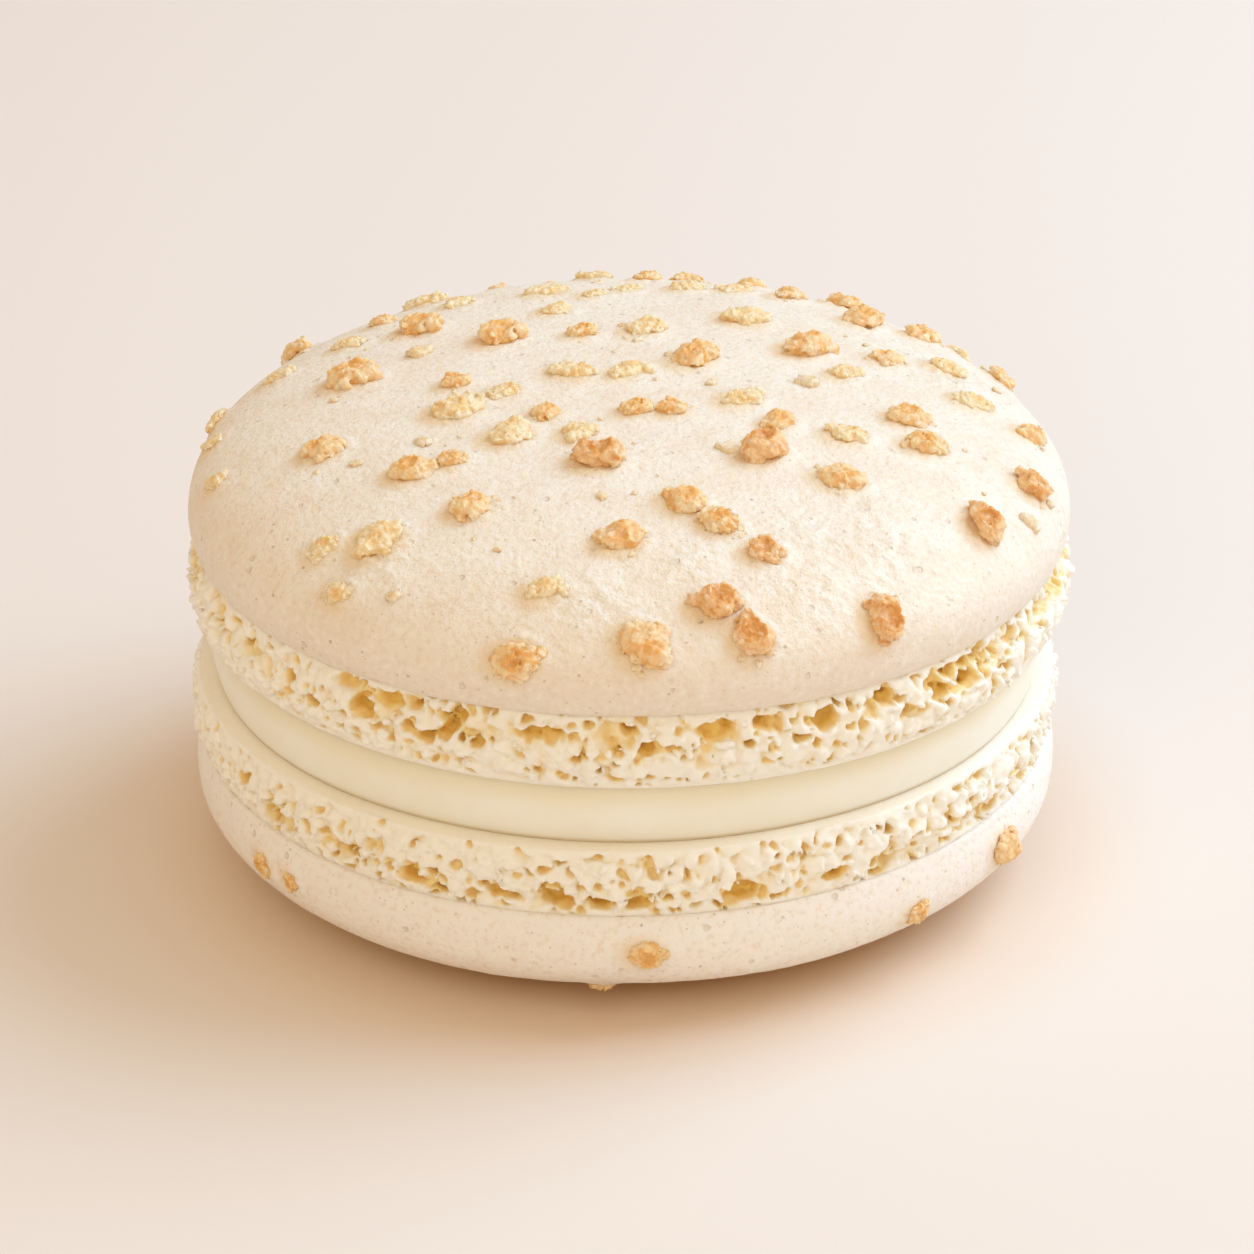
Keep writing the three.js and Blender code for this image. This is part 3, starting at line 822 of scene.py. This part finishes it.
def makeSkin(name, shell, skin, seats):
    bpy.ops.mesh.primitive_cube_add(size=2)
    piece = bpy.context.object
    piece.name = piece.data.name = name
    startEditing(piece, "VERT")
    bpy.ops.mesh.select_all(action="SELECT")
    bpy.ops.mesh.subdivide(number_cuts=skin["patches"] - 1)
    bpy.ops.mesh.select_all(action="DESELECT")
    stopEditing()
    for polygon in piece.data.polygons:
        polygon.select = polygon.center.z < 0
    bpy.ops.object.mode_set(mode="EDIT")
    bpy.ops.mesh.delete(type="FACE")
    bpy.ops.mesh.select_all(action="SELECT")
    bpy.ops.mesh.subdivide(number_cuts=skin["cuts"])
    stopEditing()
    shapeDome(piece.data, shell)
    startEditing(piece, "EDGE")
    bpy.ops.mesh.select_non_manifold()
    steps = [(shell["beltHeight"], shell["domeRadius"]), *skin["lip"],
             (0.02, skin["plugRadius"]), (-skin["plugDepth"], skin["plugRadius"])]
    for (fromHeight, fromRadius), (height, radius) in zip(steps, steps[1:]):
        extrudeRing(fromHeight, fromRadius, height, radius)
    bpy.ops.mesh.edge_face_add()
    turnFacesOutward()
    stopEditing()
    pressOutOfRound(piece.data, shell)
    measureSkin(piece.data, shell, seats, skin["flaky"])
    applyModifier(piece, "NODES", node_group=skinReliefTree())
    if shell["flatRadius"]:
        pressFlat(piece.data, shell["domeHeight"])
    seatPiece(piece, shell)
    shadeSmooth(piece, creaseAngle=60)
    return piece


filling = {"vertices": 288, "low": 10.2, "high": 13.4, "bottomRadius": 21.0, "topRadius": 21.25,
           "belly": 0.22, "rows": 14, "edgeRounding": 0.06}


def makeFilling():  # a flat disc of cream, its side a little swollen
    base = filling["bottomRadius"] - filling["edgeRounding"]
    bpy.ops.mesh.primitive_circle_add(vertices=filling["vertices"], radius=base, fill_type="NGON")
    piece = bpy.context.object
    piece.name = piece.data.name = "cream_filling"
    startEditing(piece, "EDGE")
    bpy.ops.mesh.select_all(action="SELECT")
    tall = filling["high"] - filling["low"]
    widening = filling["topRadius"] - filling["bottomRadius"]
    fromHeight, fromRadius = 0.0, base
    for row in range(1, filling["rows"] + 1):
        share = row / filling["rows"]
        swell = filling["belly"] * math.sin(math.pi * share)
        corner = max(0.0, 1 - min(share, 1 - share) * tall / filling["edgeRounding"])
        rounding = filling["edgeRounding"] * (1 - math.sqrt(1 - corner ** 2))
        radius = filling["bottomRadius"] + widening * share + swell - rounding
        extrudeRing(fromHeight, fromRadius, tall * share, radius)
        fromHeight, fromRadius = tall * share, radius
    turnFacesOutward()
    stopEditing()
    pressOutOfRound(piece.data, bottomShell)
    place = Matrix.Translation(mm * (lowerAxis + Vector((0, 0, filling["low"]))))
    piece.data.transform(place @ Matrix.Scale(mm, 4))
    shadeSmooth(piece, creaseAngle=50)
    return piece


def colour(red, green, blue):
    return (red, green, blue, 1.0)


def newMaterial(name, roughness, specular, subsurface=0.0, radius=(1.0, 0.6, 0.3), scale=0.001):
    material = bpy.data.materials.new(name)
    material.use_nodes = True
    shader = material.node_tree.nodes["Principled BSDF"]
    shader.inputs["Roughness"].default_value = roughness
    shader.inputs["Specular IOR Level"].default_value = specular
    shader.inputs["Subsurface Weight"].default_value = subsurface
    shader.inputs["Subsurface Radius"].default_value = radius
    shader.inputs["Subsurface Scale"].default_value = scale
    return material, material.node_tree, shader


def placeInMillimetres(tree):
    node = tree.nodes.new("ShaderNodeTexCoord")
    return Field(tree, node.outputs["Object"]).vector("SCALE", 1 / mm)


def storedValue(tree, name):
    node = tree.nodes.new("ShaderNodeAttribute")
    node.attribute_name = name
    return Field(tree, node.outputs["Fac"])


def mixColours(tree, share, first, second):
    node = tree.nodes.new("ShaderNodeMix")
    node.data_type = "RGBA"
    for place, value in ((0, share), (6, first), (7, second)):  # 6 and 7 are the node's colours
        plug(tree, node.inputs[place], value)
    return Field(tree, node.outputs[2])


def bump(tree, shader, height, distance, strength):
    node = tree.nodes.new("ShaderNodeBump")
    node.inputs["Strength"].default_value = strength
    node.inputs["Distance"].default_value = distance * mm
    plug(tree, node.inputs["Height"], height)
    tree.links.new(node.outputs[0], shader.inputs["Normal"])


def makeEffect(name, build):  # a shader node group that turns a place into one value
    group = bpy.data.node_groups.new(name, "ShaderNodeTree")
    group.interface.new_socket("Place", in_out="INPUT", socket_type="NodeSocketVector")
    group.interface.new_socket("Value", in_out="OUTPUT", socket_type="NodeSocketFloat")
    inlet = group.nodes.new("NodeGroupInput").outputs[0]
    plug(group, group.nodes.new("NodeGroupOutput").inputs[0], build(group, Field(group, inlet)))
    return group


def useEffect(tree, group, place, size):  # size is that of the effect's largest features
    node = tree.nodes.new("ShaderNodeGroup")
    node.node_tree = group
    plug(tree, node.inputs[0], place.vector("SCALE", 1 / size))
    return Field(tree, node.outputs[0])


def buildSpecks(tree, place):  # an uneven dot in about half of the cells
    distance, draw = cells(tree, warped(tree, place, 0.12, 0.12), 1.0)
    return (distance - draw * 0.06).ramp(0.03, 0.11, 1.0, 0.0) * draw.ramp(0.35, 0.6)


mottling = makeEffect("mottling", lambda tree, place: noise(tree, place, 1.0, 4.0).ramp(0.34, 0.66))
fineGrain = makeEffect("fineGrain", lambda tree, place: noise(tree, place, 1.0, 3.0, 0.62))
specks = makeEffect("specks", buildSpecks)

skinFinish = {"lit": colour(0.93, 0.85, 0.73), "shade": colour(0.90, 0.79, 0.65),
              "speck": colour(0.60, 0.44, 0.26), "darkSpeck": colour(0.42, 0.28, 0.14),
              "moteAndPitShade": colour(0.78, 0.65, 0.49), "flake": colour(0.95, 0.91, 0.84),
              "baked": colour(0.90, 0.64, 0.32)}
# On the bottom shell the tone is lighter and bluer over nearly all its skin: painted light. On the top
# shell it is darker towards the lip.
lipToneAndPaintedLight = {  # the tone at the lip, and how far it reaches from there
    "topSkin": (colour(0.83, 0.73, 0.62), 4.0),
    "bottomSkin": (colour(0.95, 0.90, 0.85), 9.0),
}


def skinMaterial(name):
    material, tree, shader = newMaterial(name, 0.5, 0.3, 0.25, (1.0, 0.75, 0.5), 0.0008)
    place = placeInMillimetres(tree)
    fromLip, flaky = storedValue(tree, "fromLip"), storedValue(tree, "flaky")
    base = mixColours(tree, useEffect(tree, mottling, place, 3.0), skinFinish["shade"], skinFinish["lit"])
    # painted light over the bottom skin; darker towards the lip on the top skin
    rim, reach = lipToneAndPaintedLight[name]
    base = mixColours(tree, fromLip.ramp(0.2, reach, 0.75, 0.0), base, rim)
    grain = useEffect(tree, fineGrain, place, 0.34)
    base = mixColours(tree, grain.ramp(0.3, 0.5, 0.45, 0.0), base, skinFinish["moteAndPitShade"])
    base = mixColours(tree, grain.ramp(0.52, 0.72) * 0.5, base, skinFinish["flake"])
    # baked stain and painted shadow beside each crumb
    base = mixColours(tree, storedValue(tree, "stainAndShadow"), base, skinFinish["baked"])
    fine = useEffect(tree, specks, place, 0.42)
    coarse = useEffect(tree, specks, place, 0.75) * useEffect(tree, mottling, place, 6.0)
    pits = useEffect(tree, specks, place, 1.3)
    # the pits are darkened as painted shade in them; the same tone also gives random motes in the grain
    base = mixColours(tree, pits * 0.6, base, skinFinish["moteAndPitShade"])
    base = mixColours(tree, fine * 0.6, base, skinFinish["speck"])
    base = mixColours(tree, coarse * 0.65, base, skinFinish["darkSpeck"])
    plug(tree, shader.inputs["Base Color"], base)
    away = fromLip.ramp(0.3, 3.5, 0.35, 1.0)
    dimples = useEffect(tree, fineGrain, place, 1.1) * (flaky * 1.5 + 0.8)
    bump(tree, shader, (grain + dimples) * away - pits * 0.6, 0.13, 0.9)
    return material


# The web is the foot's own tone; the pore and cavern tones are painted shade and glow in the hollows,
# deeper with depth.
footToneAndHollowShade = {"web": colour(0.97, 0.91, 0.80), "pore": colour(0.93, 0.72, 0.34),
              "cavern": colour(0.87, 0.60, 0.16)}


def footMaterial():
    material, tree, shader = newMaterial("spongyFoot", 0.38, 0.5, 0.4, (1.0, 0.9, 0.7), 0.0006)
    place = placeInMillimetres(tree)
    depth = storedValue(tree, "depth")
    base = mixColours(tree, depth.ramp(0.06, 0.38), footToneAndHollowShade["web"], footToneAndHollowShade["pore"])
    base = mixColours(tree, depth.ramp(0.4, 0.85), base, footToneAndHollowShade["cavern"])
    plug(tree, shader.inputs["Base Color"], base)
    bump(tree, shader, useEffect(tree, fineGrain, place, 0.28), 0.06, 0.8)
    return material


crumbFinish = {  # the outer crust, the darker tone used for random patches and for painted shade in hollows, clefts and at the base, and how sugary its rim is
    "toasted": (colour(0.92, 0.60, 0.30), colour(0.79, 0.39, 0.10), 0.35),
    "golden": (colour(0.96, 0.69, 0.38), colour(0.89, 0.49, 0.15), 0.4),
    "pale": (colour(0.96, 0.77, 0.49), colour(0.92, 0.63, 0.28), 0.5),
    "lower": (colour(0.92, 0.64, 0.32), colour(0.84, 0.47, 0.14), 0.3),
    "grit": (colour(0.95, 0.81, 0.60), colour(0.91, 0.69, 0.38), 0.5),
}
sugar = colour(0.98, 0.86, 0.69)


def crumbMaterial(kind):
    through = 0.0 if kind == "grit" else 0.5
    material, tree, shader = newMaterial(kind + "Crumb", 0.34, 0.5, through, (1.0, 0.9, 0.8), 0.0003)
    place = placeInMillimetres(tree)
    crust, paintedShade, sugary = crumbFinish[kind]
    # random patches plus painted shade
    patchesAndShade = useEffect(tree, mottling, place, 1.0) * 0.4 + storedValue(tree, "paintedShade")
    base = mixColours(tree, patchesAndShade.ramp(0.1, 0.9), crust, paintedShade)
    base = mixColours(tree, storedValue(tree, "rim") * sugary, base, sugar)
    frost = useEffect(tree, fineGrain, place, 0.5).ramp(0.5, 0.68) * sugary
    sparkle = useEffect(tree, specks, place, 0.5)
    base = mixColours(tree, frost.math("MAXIMUM", sparkle * 0.6), base, sugar)
    plug(tree, shader.inputs["Base Color"], base)
    bump(tree, shader, useEffect(tree, fineGrain, place, 0.2) + sparkle * 0.7, 0.12, 0.9)
    return material


fillingFinish = {"cream": colour(0.93, 0.88, 0.75), "light": colour(0.95, 0.91, 0.80),
                 "shadeUnderTop": colour(0.85, 0.74, 0.49), "seamShade": colour(0.80, 0.64, 0.36)}


def fillingMaterial():
    material, tree, shader = newMaterial("creamFilling", 0.4, 0.4, 0.5, (1.0, 0.85, 0.6), 0.0012)
    place = placeInMillimetres(tree)
    height = place.split()[2]
    low, high = filling["low"], filling["high"]
    tone = fillingFinish
    base = mixColours(tree, useEffect(tree, mottling, place, 4.0), tone["cream"], tone["light"])
    # painted shade under the top foot's overhang, darker towards the top
    base = mixColours(tree, height.ramp(high - 1.6, high, 0.0, 0.7), base, tone["shadeUnderTop"])
    # painted shade in the seam where the filling meets the bottom foot
    base = mixColours(tree, height.ramp(low + 0.05, low + 0.35, 0.7, 0.0), base, tone["seamShade"])
    plug(tree, shader.inputs["Base Color"], base)
    bump(tree, shader, useEffect(tree, fineGrain, place, 1.4), 0.05, 0.5)
    return material


view = {"target": (-0.0001, -0.00014, 0.0114), "distance": 0.3, "lookingDown": 26.386, "lens": 167.8}
studio = {
    "world": (1.0, 0.77, 0.556), "worldStrength": 0.63, "lampsAimAt": (0.0, 0.0, 0.012),
    "key": {"place": (0.272, 0.105, 0.302), "size": 0.38, "power": 1.7, "tone": (0.534, 0.753, 1.0)},
    "front": {"place": (-0.12, -0.36, 0.28), "size": 0.4, "power": 0.44, "tone": (1.0, 0.98, 0.8)},
    "side": {"place": (0.31, -0.13, 0.07), "size": 0.2, "power": 0.1, "tone": (1.0, 1.0, 1.0)},
}


def addCamera():
    camera = bpy.data.cameras.new("camera")
    camera.lens = view["lens"]
    camera.sensor_width = 36.0
    camera.clip_start = 0.01
    tilt = math.radians(view["lookingDown"])
    holder = bpy.data.objects.new("camera", camera)
    back = Vector((0, -math.cos(tilt), math.sin(tilt)))
    holder.location = Vector(view["target"]) + view["distance"] * back
    holder.rotation_euler = (math.pi / 2 - tilt, 0, 0)
    bpy.context.collection.objects.link(holder)
    bpy.context.scene.camera = holder


def addLamp(name, lamp):
    light = bpy.data.lights.new(name, "AREA")
    light.shape = "DISK"
    light.size = lamp["size"]
    light.energy = lamp["power"]
    light.color = lamp["tone"]
    holder = bpy.data.objects.new(name, light)
    holder.location = lamp["place"]
    beam = Vector(studio["lampsAimAt"]) - holder.location
    holder.rotation_euler = beam.to_track_quat("-Z", "Y").to_euler()
    bpy.context.collection.objects.link(holder)


floorFinish = {"pale": colour(0.86, 0.79, 0.73), "warmGlow": colour(0.82, 0.52, 0.26),
               "contactShadow": colour(0.66, 0.30, 0.07), "size": 3.0}


def floorMaterial():  # painted light on a plain floor: a warm glow beside the macaron, as from light that comes through it, and a painted contact shadow under it
    material, tree, shader = newMaterial("paleFloor", 0.6, 0.3)
    x, y, _ = placeInMillimetres(tree).split()
    away = joinAxes(tree, x, y, 0.0).vector("LENGTH")
    glowShare = away.ramp(15.5, 20, 0.45, 0.0) + away.ramp(18, 30, 0.45, 0.0)
    base = mixColours(tree, glowShare, floorFinish["pale"], floorFinish["warmGlow"])
    # painted contact shadow under the macaron
    base = mixColours(tree, away.ramp(15.0, 18.5, 0.65, 0.0), base, floorFinish["contactShadow"])
    plug(tree, shader.inputs["Base Color"], base)
    return material


def addStudio():
    world = bpy.data.worlds.new("studio")
    bpy.context.scene.world = world
    world.use_nodes = True
    background = world.node_tree.nodes["Background"]
    background.inputs["Color"].default_value = colour(*studio["world"])
    background.inputs["Strength"].default_value = studio["worldStrength"]
    for name in ("key", "front", "side"):
        addLamp(name, studio[name])
    bpy.ops.mesh.primitive_plane_add(size=floorFinish["size"])
    floor = bpy.context.object
    floor.name = "floor"
    floor.data.materials.append(floorMaterial())
    bpy.context.scene.view_settings.view_transform = "Standard"


addCamera()
addStudio()
footLook = footMaterial()
crumbs = makeAllCrumbs()
pieces = [
    (makeFoot("top_foot", topShell, topFoot), footLook, "top_shell", "almond_shell"),
    (makeSkin("top_skin", topShell, topSkin, topSeats), skinMaterial("topSkin"),
     "top_shell", "almond_shell"),
    (makeFoot("bottom_foot", bottomShell, bottomFoot), footLook, "bottom_shell", "almond_shell"),
    (makeSkin("bottom_skin", bottomShell, bottomSkin, crumbSeats["lower"]),
     skinMaterial("bottomSkin"), "bottom_shell", "almond_shell"),
    (makeFilling(), fillingMaterial(), "filling", "cream_filling"),
]
for kind, piece in crumbs.items():
    node = "bottom_shell" if kind == "lower" else "top_shell"
    pieces.append((piece, crumbMaterial(kind), node, "almond_shell"))
for piece, material, node, slot in pieces:
    piece.data.materials.append(material)
    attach(piece, "root")
    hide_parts(node)
